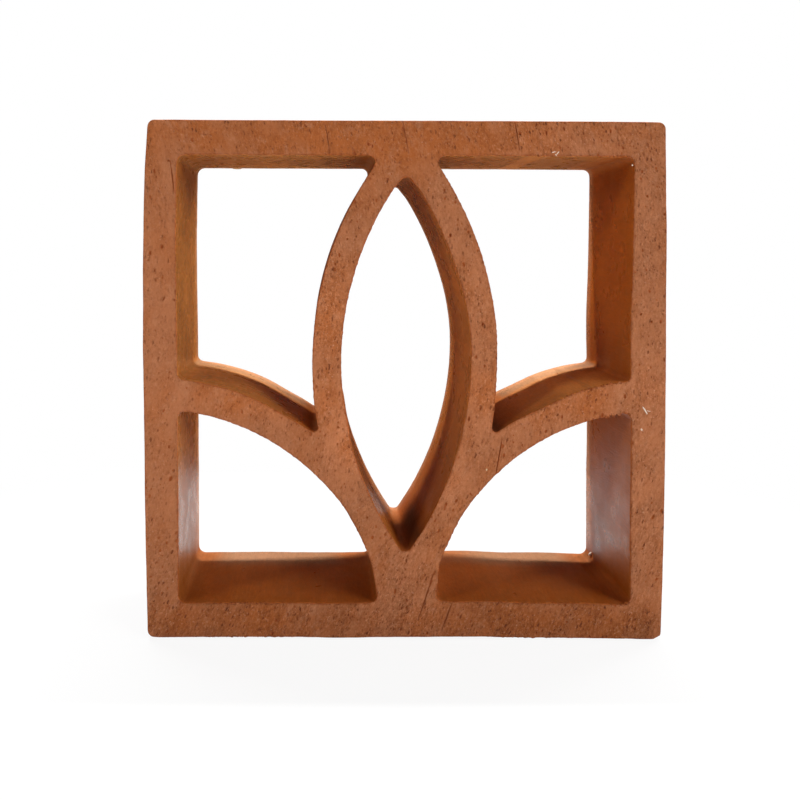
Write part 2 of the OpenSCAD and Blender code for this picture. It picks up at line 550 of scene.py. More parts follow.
# %% [markdown]
# ## The cutting wire's path
# The wire swung through the column in a shallow curve, so every mark that it left slants
# one way at the top of the block and the other way at the bottom. One rule holds for all
# of them: a mark that starts at some x moves sideways by lean * z - curl * z * z. The
# pits, the scored lines and the grain of the cut faces all use it.

# %% The rule of the wire
LEAN = 0.38
CURL = 1.45  # per metre


def wire_x(z):
    """How far sideways the wire has moved at height z."""
    return LEAN * z - CURL * z * z


print("wire moves, mm:", [round(wire_x(z * MM) / MM, 1) for z in (0, 100, 200)])

# %% [markdown]
# ## Push the slice through the die
# Geometry Nodes suit this step, because the block is one rule: the same section at every
# depth. A repeat zone extrudes the slice row by row. The rows crowd towards the two cut
# faces, where soft edges and tears need them, and spread out in the plain middle. A
# flipped copy of the slice closes the start, and merging seals the seam.

# %% A tree that extrudes the column
def named(tree, name, data_type="FLOAT"):
    """A value that the mesh carries under a name."""
    node = add(tree, "GeometryNodeInputNamedAttribute", {"Name": name}, data_type=data_type)
    return node.outputs[0]


def crowded(tree, share, crowding):
    """A share of the depth, from 0 to 1, drawn towards both ends."""
    wave = maths(tree, "SINE", times(tree, share, 2 * math.pi))
    drawn = maths(tree, "DIVIDE", times(tree, wave, crowding), 2 * math.pi)
    return minus(tree, share, drawn)


def column_tree():
    """A tree that extrudes a section row by row, closed at both ends."""
    sockets = {"Section": "Geometry", "Depth": 0.06, "Rows": 15, "Crowding": 0.9}
    tree, given, result = new_tree("clay_column", "Geometry", sockets, {"Column": "Geometry"})
    start = tree.nodes.new("GeometryNodeRepeatInput")
    end = tree.nodes.new("GeometryNodeRepeatOutput")
    start.pair_with_output(end)
    end.repeat_items.new("BOOLEAN", "Top")
    tree.links.new(given["Rows"], start.inputs["Iterations"])
    tree.links.new(given["Section"], start.inputs["Geometry"])
    start.inputs["Top"].default_value = True
    row = start.outputs["Iteration"]
    here = maths(tree, "DIVIDE", row, given["Rows"])
    there = maths(tree, "DIVIDE", plus(tree, row, 1.0), given["Rows"])
    ahead = crowded(tree, there, given["Crowding"])
    step = minus(tree, ahead, crowded(tree, here, given["Crowding"]))
    extrude = add(
        tree,
        "GeometryNodeExtrudeMesh",
        {
            "Mesh": start.outputs["Geometry"],
            "Selection": start.outputs["Top"],
            "Offset": (0, 1, 0),
            "Offset Scale": times(tree, step, given["Depth"]),
            "Individual": False,
        },
    )
    tree.links.new(extrude.outputs["Mesh"], end.inputs["Geometry"])
    tree.links.new(extrude.outputs["Top"], end.inputs["Top"])
    lid = add(tree, "GeometryNodeFlipFaces", {"Mesh": given["Section"]})
    both = tree.nodes.new("GeometryNodeJoinGeometry")
    tree.links.new(lid.outputs[0], both.inputs[0])
    tree.links.new(end.outputs["Geometry"], both.inputs[0])
    fills = {"Geometry": both.outputs[0], "Distance": HAIR}
    sealed = add(tree, "GeometryNodeMergeByDistance", fills)
    tree.links.new(sealed.outputs[0], result[0])
    return tree


print("column tree:", len(column_tree().nodes), "nodes")

# %% [markdown]
# ## Soft edges, waves and tears
# A second tree bends the straight column into clay. Each effect is an offset, and the
# offsets are added up: every edge between a wall and a cut face is rounded; the walls
# wave slightly across the section but not along the depth, as clay from a die does; the
# cut faces are uneven by a few tenths of a millimetre; and the torn places hang over the
# opening in ragged crumbs. The cut faces only move inwards, so the block stays in its
# box. The mesh also gets the distance to the nearest edge, for the wear in the materials.

# %% Helpers of the clay tree
def painted(tree, geometry, finish, selection=True):
    """Geometry with a finish, on all of its faces or on the selected ones."""
    fills = {"Geometry": geometry, "Material": finish, "Selection": selection}
    return add(tree, "GeometryNodeSetMaterial", fills).outputs[0]


def rounding(tree, distance, radius):
    """How far a point moves so near an edge, to make the edge round."""
    near = minus(tree, 1.0, maths(tree, "DIVIDE", distance, radius))
    curve = maths(tree, "POWER", maths(tree, "MAXIMUM", near, 0.0), 1.5)
    return times(tree, curve, ARC_DEPTH, radius)


def uneven(tree, section_place, face_shift, most):
    """How far a cut face lies below its plane at each place of the section."""
    spot = vectors(tree, "ADD", section_place, (face_shift, 0.0, 0.0))
    return times(tree, remap(tree, cloud(tree, spot, 11 * MM, 3.0, 0.55), 0.25, 0.8), most)


def hanging(tree, place, deep, most):
    """How far the torn front edge, and the row behind it, hang over the opening."""
    near_front = remap(tree, deep, 0.0, 1.4 * MM, 1.0, 0.0)
    ragged = remap(tree, cloud(tree, place, 1.3 * MM, 2.0, 0.7), 0.42, 0.72, -0.25, 1.0)
    return times(tree, named(tree, "torn"), near_front, ragged, most)


def stored(tree, geometry, name, value, domain):
    """Geometry that carries a value under a name."""
    fills = {"Geometry": geometry, "Name": name, "Value": value}
    return add(tree, "GeometryNodeStoreNamedAttribute", fills, domain=domain).outputs[0]


ARC_DEPTH = 0.293  # a quarter round's middle lies this share of its radius below the corner
print("a rounded edge is lowered by", ARC_DEPTH, "of its radius")

# %% A tree that makes the column look like clay
def clay_tree():
    """A tree that rounds, waves and tears a straight column."""
    sockets = {
        "Column": "Geometry", "Front": -0.03, "Depth": 0.06, "Edge Radius": 0.0005,
        "Wave": 0.00025, "Unevenness": 0.0003, "Tear": 0.0011, "Box Low": "Vector",
        "Box High": "Vector", "Cut Finish": "Material", "Wall Finish": "Material",
    }
    tree, given, result = new_tree("clay_surface", "Geometry", sockets, {"Clay": "Geometry"})
    place = add(tree, "GeometryNodeInputPosition").outputs[0]
    x, y, z = split_axes(tree, place)
    section_place = join_axes(tree, X=x, Z=z)
    inset = named(tree, "inset")
    inward = named(tree, "inward", "FLOAT_VECTOR")
    deep = minus(tree, y, given["Front"])
    to_back = minus(tree, given["Depth"], deep)
    to_face = maths(tree, "MINIMUM", deep, to_back)
    share = maths(tree, "DIVIDE", deep, given["Depth"])
    toward_middle = maths(tree, "SIGN", minus(tree, to_back, deep))

    # Rounding: a wall point near a face moves into the clay, a face point near a wall inwards
    chip = remap(tree, cloud(tree, place, 4 * MM, 2.0), 0.5, 0.75, 0.8, 2.4)
    round_in = times(tree, rounding(tree, to_face, given["Edge Radius"]), chip)
    reach = maths(tree, "MAXIMUM", to_face, inset)
    on_face = maths(tree, "LESS_THAN", to_face, 0.01 * MM)
    round_back = times(tree, rounding(tree, reach, given["Edge Radius"]), chip, on_face)

    # Waves across the section, the same at every depth
    slow = cloud(tree, section_place, 17 * MM, 2.0)
    fine = cloud(tree, section_place, 3.5 * MM, 1.0)
    wave = times(tree, times_plus(tree, fine, 0.4, slow), given["Wave"])

    # Uneven cut faces: the offset fades from one face to the other along the depth
    front_in = uneven(tree, section_place, 1.0, given["Unevenness"])
    back_in = uneven(tree, section_place, 2.0, given["Unevenness"])
    front_in = times(tree, front_in, minus(tree, 1.0, share))
    along = minus(tree, front_in, times(tree, back_in, share))
    along = plus(tree, along, times(tree, round_back, toward_middle))

    # The whole offset, held inside the block's box
    hang = hanging(tree, place, deep, given["Tear"])
    sideways = minus(tree, plus(tree, round_in, wave), hang)
    offset = vectors(tree, "ADD", scaled(tree, inward, sideways), join_axes(tree, Y=along))
    normal = add(tree, "GeometryNodeInputNormal").outputs[0]
    facing = maths(tree, "ABSOLUTE", vectors(tree, "DOT_PRODUCT", normal, (0, 1, 0)))
    marked = stored(tree, given["Column"], "edge", reach, "POINT")
    marked = stored(tree, marked, "wall", maths(tree, "LESS_THAN", facing, 0.5), "FACE")
    held = vectors(tree, "MAXIMUM", vectors(tree, "ADD", place, offset), given["Box Low"])
    held = vectors(tree, "MINIMUM", held, given["Box High"])
    moved = add(tree, "GeometryNodeSetPosition", {"Geometry": marked, "Position": held}).outputs[0]
    cut_all = painted(tree, moved, given["Cut Finish"])
    on_wall = maths(tree, "GREATER_THAN", named(tree, "wall"), 0.5)
    tree.links.new(painted(tree, cut_all, given["Wall Finish"], on_wall), result[0])
    return tree


print("clay tree:", len(clay_tree().nodes), "nodes")

# %% [markdown]
# ## Lines scored by the wire
# Seven hairlines show on the front face, where the wire dragged a hard grain along. Each
# is a groove a third of a millimetre wide that follows the wire's rule. A curve
# with a kite-shaped profile makes a closed cutter, thick in the middle and thin at both
# ends, and the cutter is taken out of the clay together with the pits.

# %% Lay the paths of the scored lines
SCORED = [  # (x, z at the upper end, z at the lower end)
    (-90.5 * MM, 184.5 * MM, 172.0 * MM),
    (-31.3 * MM, 198.8 * MM, 187.6 * MM),
    (-1.6 * MM, 200.2 * MM, 186.5 * MM),
    (41.2 * MM, 200.2 * MM, 187.8 * MM),
    (37.4 * MM, 78.7 * MM, 62.6 * MM),
    (11.4 * MM, 26.6 * MM, 7.6 * MM),
    (18.3 * MM, 14.6 * MM, 3.0 * MM),
]
LINE_STEP = 0.9 * MM


def scored_paths():
    """One mesh of edges, a chain of points for each scored line."""
    chance = np.random.default_rng(SEED + 1)
    points, edges = [], []
    for x, top, bottom in SCORED:
        heights = np.linspace(top, bottom, round((top - bottom) / LINE_STEP) + 1)
        first = len(points)
        for z in heights:
            shake = chance.uniform(-0.07, 0.07) * MM
            points.append((x + wire_x(z) - wire_x(top) + shake, low.y, z))
        edges += [(i, i + 1) for i in range(first, len(points) - 1)]
    return new_object("scored_paths", new_mesh("scored_paths", points, edges))


paths = scored_paths()
print("scored lines:", len(SCORED), "with", len(paths.data.vertices), "points")

# %% A tree that turns the paths into cutters
def line_tree():
    """A tree that gives each path a closed, tapering cutter."""
    sockets = {"Paths": "Geometry", "Half Width": 0.00018, "Reach": 0.0006}
    tree, given, result = new_tree("scored_line", "Geometry", sockets, {"Cutters": "Geometry"})
    curve = add(tree, "GeometryNodeMeshToCurve", {"Mesh": given["Paths"]}).outputs[0]
    fills = {"Curve": curve, "Normal": (0, 1, 0)}
    curve = add(tree, "GeometryNodeSetCurveNormal", fills, mode="FREE").outputs[0]
    corners = {"Resolution": 4, "Radius": 1.0}
    kite = add(tree, "GeometryNodeCurvePrimitiveCircle", corners).outputs[0]
    shape = join_axes(tree, X=given["Reach"], Y=given["Half Width"], Z=1.0)
    kite = add(tree, "GeometryNodeTransform", {"Geometry": kite, "Scale": shape}).outputs[0]
    share = tree.nodes.new("GeometryNodeSplineParameter").outputs["Factor"]
    taper = maths(tree, "SINE", times(tree, share, math.pi))
    taper = plus(tree, maths(tree, "POWER", taper, 0.5), 0.12)
    fills = {"Curve": curve, "Profile Curve": kite, "Scale": taper, "Fill Caps": True}
    swept = add(tree, "GeometryNodeCurveToMesh", fills).outputs[0]
    tree.links.new(swept, result[0])
    return tree


print("line tree:", len(line_tree().nodes), "nodes")

# %% [markdown]
# ## Pits torn out by the wire
# Where the wire caught a grain it pulled it out, and left a dark little pit, longer
# along the wire's path than across it. Pits lie in loose clumps. Points are scattered on
# the cut faces with a smallest spacing and a cloudy density, a rounded grain is placed on
# each, turned along the wire's path, made irregular, and all grains are cut out of the
# clay at once. The inside of each pit keeps a finish of its own, because the broken clay
# in it is darker. Cutting leaves a few edges of no length and points that only two edges
# meet at, and dropping those leaves one clean closed mesh.

# %% Scatter the grains that leave the pits
def random_value(tree, least, most, seed):
    """A random number for each point, the same on each run."""
    fills = {2: least, 3: most, "Seed": seed}
    return add(tree, "FunctionNodeRandomValue", fills).outputs[1]


def pit_grains(tree, clay, allowed, spacing, density, size, seed):
    """Irregular grains on the allowed faces of the clay, ready to be cut out of it."""
    place = add(tree, "GeometryNodeInputPosition").outputs[0]
    clump = cloud(tree, vectors(tree, "ADD", place, (seed, 0.0, 0.0)), 16 * MM, 2.0, 0.6)
    fills = {
        "Mesh": clay,
        "Selection": allowed,
        "Distance Min": spacing,
        "Density Max": density,
        "Density Factor": remap(tree, clump, 0.42, 0.68, 0.25, 1.0),
        "Seed": seed,
    }
    scatter = add(tree, "GeometryNodeDistributePointsOnFaces", fills, distribute_method="POISSON")
    slope = times_plus(tree, split_axes(tree, place)["Z"], -2 * CURL, LEAN)
    slant = plus(tree, maths(tree, "ARCTANGENT", slope), random_value(tree, -0.25, 0.25, seed + 1))
    turn = add(tree, "FunctionNodeEulerToRotation", {0: join_axes(tree, Y=slant)}).outputs[0]
    big = maths(tree, "POWER", random_value(tree, 0.0, 1.0, seed + 2), 2.8)
    width = times(tree, times_plus(tree, big, 0.9, 0.55), size)
    length = times(tree, width, random_value(tree, 1.0, 2.6, seed + 3))
    depth = times(tree, width, random_value(tree, 0.8, 1.5, seed + 4))
    shape = join_axes(tree, X=width, Y=depth, Z=length)
    grain = add(tree, "GeometryNodeMeshIcoSphere", {"Radius": 1.0, "Subdivisions": 1}).outputs[0]
    fills = {"Points": scatter.outputs[0], "Instance": grain, "Rotation": turn, "Scale": shape}
    placed = add(tree, "GeometryNodeInstanceOnPoints", fills).outputs[0]
    real = add(tree, "GeometryNodeRealizeInstances", {0: placed}).outputs[0]
    noise = add(tree, "ShaderNodeTexNoise", {"Vector": place, "Scale": 1 / (0.5 * MM)})
    shake = vectors(tree, "SUBTRACT", noise.outputs["Color"], (0.5, 0.5, 0.5))
    fills = {"Geometry": real, "Offset": scaled(tree, shake, times(tree, size, 1.1))}
    return add(tree, "GeometryNodeSetPosition", fills).outputs[0]


print("grain helpers ready")

# %% A tree that opens the pits and the scored lines
RIM = 0.35 * MM  # no pit starts so near the edge of a cut face
WALL_RIM = 3 * MM
CREASE = math.radians(42)
FACE_SEED, WALL_SEED = 11, 21


def pit_tree():
    """A tree that cuts pits and scored lines out of the clay."""
    sockets = {
        "Clay": "Geometry", "Cutters": "Object", "Spacing": 0.0017, "Density": 58000.0,
        "Grain Size": 0.00035, "Wall Spacing": 0.012, "Wall Density": 600.0,
        "Pit Finish": "Material",
    }
    tree, given, result = new_tree("open_pits", "Geometry", sockets, {"Clay": "Geometry"})
    wall = maths(tree, "GREATER_THAN", named(tree, "wall"), 0.5)
    edge = named(tree, "edge")
    face = times(tree, maths(tree, "GREATER_THAN", edge, RIM), minus(tree, 1.0, wall))
    inner = times(tree, wall, maths(tree, "GREATER_THAN", edge, WALL_RIM))
    grains = tree.nodes.new("GeometryNodeJoinGeometry")
    for allowed, kind, seed in ((face, "", FACE_SEED), (inner, "Wall ", WALL_SEED)):
        scatter = given[kind + "Spacing"], given[kind + "Density"]
        pits = pit_grains(tree, given["Clay"], allowed, *scatter, given["Grain Size"], seed)
        tree.links.new(pits, grains.inputs[0])
    lines = add(tree, "GeometryNodeObjectInfo", {"Object": given["Cutters"]}).outputs["Geometry"]
    way = {"operation": "DIFFERENCE", "solver": "MANIFOLD"}
    cut = add(tree, "GeometryNodeMeshBoolean", {"Mesh 1": given["Clay"]}, **way)
    for cutter in (grains.outputs[0], lines):
        tree.links.new(painted(tree, cutter, given["Pit Finish"]), cut.inputs["Mesh 2"])
    crease = tree.nodes.new("GeometryNodeInputMeshEdgeAngle").outputs["Unsigned Angle"]
    sharp = maths(tree, "GREATER_THAN", crease, CREASE)
    smooth = add(tree, "GeometryNodeSetShadeSmooth", {"Geometry": cut.outputs[0]}, domain="FACE")
    fills = {"Geometry": smooth.outputs[0], "Selection": sharp, "Shade Smooth": False}
    creased = add(tree, "GeometryNodeSetShadeSmooth", fills, domain="EDGE").outputs[0]
    tree.links.new(creased, result[0])
    return tree


print("pit tree:", len(pit_tree().nodes), "nodes")

# %% Helpers that run a tree and keep what it makes
def use_tree(piece, tree, values):
    """Put a tree on a piece as a modifier, with its inputs set by identifier."""
    modifier = piece.modifiers.new(tree.name, "NODES")
    modifier.node_group = tree
    for socket in tree.interface.items_tree:
        if socket.in_out == "INPUT" and socket.name in values:
            modifier[socket.identifier] = values[socket.name]


def to_plain_mesh(piece):
    """Turn what the modifiers make into the piece's own mesh, with no empty finish."""
    layers = bpy.context.evaluated_depsgraph_get()
    made = bpy.data.meshes.new_from_object(
        piece.evaluated_get(layers), preserve_all_data_layers=True, depsgraph=layers
    )
    piece.modifiers.clear()
    piece.data = made
    made.name = piece.name
    while made.materials and made.materials[0] is None:
        used = np.zeros(len(made.polygons), np.int32)
        made.polygons.foreach_get("material_index", used)
        made.materials.pop(index=0)
        made.polygons.foreach_set("material_index", np.maximum(used - 1, 0))


def tidy_cuts(piece):
    """Drop the edges of no length and the points with only two edges, which cuts leave."""
    mesh = bmesh.new()
    mesh.from_mesh(piece.data)
    bmesh.ops.dissolve_degenerate(mesh, edges=mesh.edges, dist=HAIR)
    idle = [point for point in mesh.verts if len(point.link_edges) == 2]
    bmesh.ops.dissolve_verts(mesh, verts=idle)
    unclosed = sum(len(edge.link_faces) != 2 for edge in mesh.edges)
    mesh.to_mesh(piece.data)
    mesh.free()
    print("idle points dropped:", len(idle), "and unclosed edges left:", unclosed)


print("helpers for plain meshes ready")

# %% Cut the block
cut_clay, wall_clay, pit_clay = map(new_material, ("cut_clay", "wall_clay", "pit_clay"))
use_tree(paths, trees["scored_line"], {})
to_plain_mesh(paths)
use_tree(block, trees["clay_column"], {"Depth": block_d})
finishes = {"Cut Finish": cut_clay, "Wall Finish": wall_clay}
box = {"Box Low": low, "Box High": high}
use_tree(block, trees["clay_surface"], {"Front": low.y, "Depth": block_d, **box, **finishes})
use_tree(block, trees["open_pits"], {"Cutters": paths, "Pit Finish": pit_clay})
to_plain_mesh(block)
tidy_cuts(block)
bpy.data.objects.remove(paths)
block.data.calc_loop_triangles()
print("block:", len(block.data.loop_triangles), "triangles")
print("finishes:", [finish.name for finish in block.data.materials])

# %% [markdown]
# ## Finishes from shared effects
# Fired clay has no paint. Its colour comes from iron in the clay, and it changes a
# little from place to place with the heat of the kiln, the moisture and the grain. The
# three finishes of this block differ, but they share their effects: cloudy kiln colour,
# streaks, specks, worn edges and the path of the wire. Each effect is a small shader
# group with named inputs. A group gives only colours, masks, values or places, and the
# material decides what to do with them. Heights are in millimetres all the way to the
# Bump node.

# %% The wire's path as a shader group
def blend_colours(tree, share, first, second):
    """The first colour, with a share of the second one blended in."""
    fills = {"Factor": share, 6: first, 7: second}
    return add(tree, "ShaderNodeMix", fills, data_type="RGBA").outputs[2]


def make_wire_path():
    """Places measured along the wire's path, so that a pattern can follow its drag."""
    sockets = {"Vector": "Vector", "Lean": LEAN, "Curl": CURL}
    tree, given, result = new_tree("wire_path", "Shader", sockets, {"Vector": "Vector"})
    x, y, z = split_axes(tree, given["Vector"])
    curled = times(tree, z, z, given["Curl"])
    moved = minus(tree, times(tree, z, given["Lean"]), curled)
    tree.links.new(join_axes(tree, X=minus(tree, x, moved), Y=y, Z=z), result[0])


make_wire_path()
print("lean and curl:", LEAN, CURL)

# %% Kiln colour as a shader group
def make_kiln_colour():
    """Clay colour: a body colour with cloudy warm and pale patches and a mottle."""
    sockets = {
        "Vector": "Vector", "Body": (0.375, 0.132, 0.053, 1.0),
        "Warm": (0.36, 0.1, 0.024, 1.0), "Pale": (0.43, 0.175, 0.085, 1.0),
        "Patch Size": 0.014, "Warmth": 0.0, "Pale Share": 0.5, "Mottle Size": 0.0022,
        "Mottle": 0.1,
    }
    tree, given, result = new_tree("kiln_colour", "Shader", sockets, {"Color": "Color"})
    vector, patch = given["Vector"], given["Patch Size"]
    large = cloud(tree, vector, patch, 3.0, 0.6)
    warm = plus(tree, remap(tree, large, 0.3, 0.7, -0.35, 0.55), given["Warmth"])
    colour = blend_colours(tree, maths(tree, "MINIMUM", warm, 1.0), given["Body"], given["Warm"])
    beside = vectors(tree, "ADD", vector, (3.1, 0.7, 1.9))
    small = cloud(tree, beside, times(tree, patch, 0.25), 4.0, 0.7)
    pale = times(tree, remap(tree, small, 0.5, 0.72), given["Pale Share"])
    colour = blend_colours(tree, pale, colour, given["Pale"])
    mottle = cloud(tree, vector, given["Mottle Size"], 5.0, 0.72)
    swing = times(tree, minus(tree, mottle, 0.5), given["Mottle"])
    bright = plus(tree, times(tree, swing, 4.0), 1.0)
    tree.links.new(scaled(tree, colour, bright), result[0])


make_kiln_colour()
print("kiln colour:", len(trees["kiln_colour"].nodes), "nodes")

# %% Streaks and specks as shader groups
def make_streaks():
    """Streaks along one axis: values from 0 to 1, long one way and narrow across it."""
    sockets = {"Vector": "Vector", "Width": 0.0007, "Length": (1, 1, 0.08)}
    tree, given, result = new_tree("streaks", "Shader", sockets, {"Value": "Float"})
    drawn_out = vectors(tree, "MULTIPLY", given["Vector"], given["Length"])
    streak = cloud(tree, drawn_out, given["Width"], 3.0, 0.6)
    tree.links.new(streak, result[0])


def make_specks():
    """Specks of uneven shape and strength, from 0 to 1, in a share of a grid's cells."""
    sockets = {"Vector": "Vector", "Spacing": 0.002, "Radius": 0.0002, "Share": 0.3}
    tree, given, result = new_tree("specks", "Shader", sockets, {"Mask": "Float"})
    per_metre = maths(tree, "DIVIDE", 1.0, given["Spacing"])
    fills = {"Vector": given["Vector"], "Scale": times(tree, per_metre, 2.2)}
    noise = add(tree, "ShaderNodeTexNoise", fills)
    shake = vectors(tree, "SUBTRACT", noise.outputs["Color"], (0.5, 0.5, 0.5))
    shake = scaled(tree, shake, maths(tree, "DIVIDE", 0.7, per_metre))
    bent = vectors(tree, "ADD", given["Vector"], shake)
    cells = add(tree, "ShaderNodeTexVoronoi", {"Vector": bent, "Scale": per_metre})
    away = times(tree, cells.outputs["Distance"], given["Spacing"])
    numbers = add(tree, "ShaderNodeSeparateColor", {0: cells.outputs["Color"]})
    chance, size, strong = numbers.outputs
    radius = times(tree, given["Radius"], plus(tree, size, 0.4))
    inside = remap(tree, away, times(tree, radius, 0.6), radius, 1.0, 0.0)
    chosen = maths(tree, "LESS_THAN", chance, given["Share"])
    strength = times(tree, chosen, times_plus(tree, strong, 0.8, 0.2))
    tree.links.new(times(tree, inside, strength), result[0])


make_streaks()
make_specks()
print("specks:", len(trees["specks"].nodes), "nodes")

# %% Worn edges as a shader group
def make_worn_edge():
    """Wear beside an edge: 1 on the edge, fading over an uneven width."""
    sockets = {"Vector": "Vector", "Edge Distance": 1.0, "Width": 0.001}
    tree, given, result = new_tree("worn_edge", "Shader", sockets, {"Mask": "Float"})
    uneven = cloud(tree, given["Vector"], 3 * MM, 3.0, 0.6)
    width = times(tree, given["Width"], remap(tree, uneven, 0.3, 0.7, 0.2, 1.6))
    tree.links.new(remap(tree, given["Edge Distance"], 0.0, width, 1.0, 0.0), result[0])


make_worn_edge()
print("shader groups:", sorted(t.name for t in trees if t.bl_idname == "ShaderNodeTree"))

# %% Helpers for the materials
SHINE = 0.2  # how strongly fired clay reflects, where 0.5 is usual


def place_group(tree, name, **inputs):
    """Put a shared group into a material, its inputs given with _ for each space."""
    node = add(tree, "ShaderNodeGroup", node_tree=trees[name])
    for label, value in inputs.items():
        socket = node.inputs[label.replace("_", " ").title()]
        if isinstance(value, bpy.types.NodeSocket):
            tree.links.new(value, socket)
        else:
            socket.default_value = value
    return node.outputs[0]


def open_material(material, roughness=0.9):
    """Start a material: its tree, its Principled BSDF and the object coordinates."""
    tree = material.node_tree
    surface = tree.nodes["Principled BSDF"]
    surface.inputs["Roughness"].default_value = roughness
    surface.inputs["Specular IOR Level"].default_value = SHINE
    coordinates = tree.nodes.new("ShaderNodeTexCoord").outputs["Object"]
    return tree, surface, coordinates


def raise_surface(tree, surface, height_mm):
    """Feed a height in millimetres to the surface's normal."""
    bump = add(tree, "ShaderNodeBump", {"Height": height_mm, "Distance": MM, "Strength": 1.0})
    tree.links.new(bump.outputs[0], surface.inputs["Normal"])


print("material helpers ready")

# %% [markdown]
# ## The finish of the cut faces
# The wire left the front and the back matt and open. They're a dusty pink-brown, with
# warmer orange where the skin is smeared. The grain is painted darker in its low spots and
# paler in its high spots, a painted shade and light of its relief. Dark pores, partly their
# colour and partly painted shade, and pale grains come on top, then a redder rim where the
# edges are worn, and dark crumbs that cling to the torn edges and also paint the shadow
# under the torn lips. The numbers that the slice carries change the warmth, the grit and
# the tone from part to part. The pits themselves are real holes, so the material only adds
# what is smaller than they are.

# %% Helpers for fired clay
def layered(tree, colour, *layers):
    """A colour with layers blended over it, each a share and a colour."""
    for share, over in layers:
        colour = blend_colours(tree, share, colour, over)
    return colour


def carried(tree, name):
    """A number that the mesh carries, such as the distance to the nearest edge."""
    return add(tree, "ShaderNodeAttribute", attribute_name=name).outputs["Fac"]


def torn_crumbs_and_lip_shadow(tree, place):
    """Where dark crumbs cling to the front edge, with painted shadow under a torn lip: more where
    the wire tore it.
    """
    beside = remap(tree, carried(tree, "edge"), 0.5 * MM, 1.3 * MM, 1.0, 0.0)
    y = split_axes(tree, place)["Y"]
    in_front = remap(tree, y, low.y + 0.9 * MM, low.y + 1.6 * MM, 1.0, 0.0)
    crumb = remap(tree, cloud(tree, place, 1.1 * MM, 3.0, 0.7), 0.5, 0.58)
    strength = maths(tree, "MINIMUM", times(tree, carried(tree, "torn"), 2.0), 1.0)
    return times(tree, beside, in_front, crumb, strength)


def wear(tree, place, width):
    """Where the edges are worn, over an uneven width."""
    distance = carried(tree, "edge")
    return place_group(tree, "worn_edge", vector=place, edge_distance=distance, width=width)


def speckle(tree, vector, spacing, radius, share):
    """Where specks lie: their spacing and radius in millimetres, and how many there are."""
    sizes = {"spacing": spacing * MM, "radius": radius * MM, "share": share}
    return place_group(tree, "specks", vector=vector, **sizes)


print("clay helpers ready")

# %% Finish the cut faces
# Painted shade on the grain's low spots and painted light on its high spots
PAINTED_SHADE_LOW = (0.22, 0.052, 0.014, 1)
PAINTED_LIGHT_HIGH = (0.56, 0.23, 0.11, 1)
# Partly the pores' own colour and partly painted shade inside them
PORE_COLOUR_AND_SHADE = (0.17, 0.042, 0.012, 1)
PALE_GRAIN = (0.55, 0.29, 0.17, 1)
WORN_CUT = (0.3, 0.07, 0.017, 1)
# Partly dark crumbs and partly painted shadow under the torn lips
CRUMB_AND_LIP_SHADOW = (0.17, 0.036, 0.009, 1)


def finish_cut_clay():
    """Dusty pink-brown with grain in painted light and shade, pores, pale grains and a worn red
    rim.
    """
    tree, surface, place = open_material(cut_clay)
    along = place_group(tree, "wire_path", vector=place)
    drawn = vectors(tree, "MULTIPLY", along, (1, 1, 0.6))
    stretched = vectors(tree, "MULTIPLY", along, (1, 1, 0.45))
    clumps = remap(tree, cloud(tree, drawn, 7 * MM, 3.0, 0.6), 0.36, 0.64, 0.65, 1.25)
    grit = times(tree, plus(tree, carried(tree, "grit"), 0.95), clumps)

    # The marks that the wire left, each a share from 0 to 1, with painted shade and light on the
    # grain
    grain = cloud(tree, drawn, 0.8 * MM, 4.0, 0.8)
    painted_shade_spots = times(tree, remap(tree, grain, 0.5, 0.2), grit)
    painted_light_spots = times(tree, remap(tree, grain, 0.5, 0.8, 0.0, 0.8), grit)
    pores = speckle(tree, stretched, 1.4, 0.38, 0.45)
    fine = speckle(tree, drawn, 0.85, 0.27, 0.55)
    grains = speckle(tree, vectors(tree, "ADD", place, (0.5, 0.5, 0.5)), 1.3, 0.3, 0.45)
    dark = maths(tree, "MAXIMUM", times(tree, pores, 0.95), times(tree, fine, 0.65))
    worn = wear(tree, place, 0.9 * MM)

    # Colour, layer by layer
    warmth = carried(tree, "warmth")
    mottle = times(tree, grit, 0.13)
    colour = place_group(tree, "kiln_colour", vector=drawn, warmth=warmth, mottle=mottle)
    colour = layered(
        tree,
        colour,
        (painted_shade_spots, PAINTED_SHADE_LOW),
        (painted_light_spots, PAINTED_LIGHT_HIGH),
        (times(tree, dark, grit), PORE_COLOUR_AND_SHADE),
        (times(tree, grains, grit, 0.4), PALE_GRAIN),
        (times(tree, worn, 0.9), WORN_CUT),
        (torn_crumbs_and_lip_shadow(tree, place), CRUMB_AND_LIP_SHADOW),
    )
    colour = scaled(tree, colour, plus(tree, carried(tree, "tone"), 1.0))
    tree.links.new(colour, surface.inputs["Base Color"])

    # Height in millimetres
    rough = cloud(tree, drawn, 1.4 * MM, 4.0, 0.75)
    height = times(tree, rough, times(tree, grit, 1.2))
    for mask, rise in ((pores, -0.3), (fine, -0.15), (grains, 0.12)):
        height = times_plus(tree, mask, rise, height)
    raise_surface(tree, surface, height)


finish_cut_clay()
print("cut clay:", len(cut_clay.node_tree.nodes), "nodes")

# %% [markdown]
# ## The finish of the walls
# The die pressed and polished the walls, so they shine a little when seen at a low
# angle, in some places more than in others. Gritty parts, torn edges and corners with
# painted shade are duller. Faint lines run straight through the depth, which is the y
# axis, and stretching the texture along y gives them. The flashes and embers that the
# slice carries colour each wall, and its shades paint light and shade on the walls. The
# back half of every ledge is painted paler, as the lamp above lights it, and less so in
# the painted shade of the corners. The back rim of the walls is painted paler too, as the
# light from behind lights it, everywhere but at the very bottom. The beds and the outer
# sides were handled and stacked, so they are rougher, with the plainer colour of the cut
# faces and less shine.

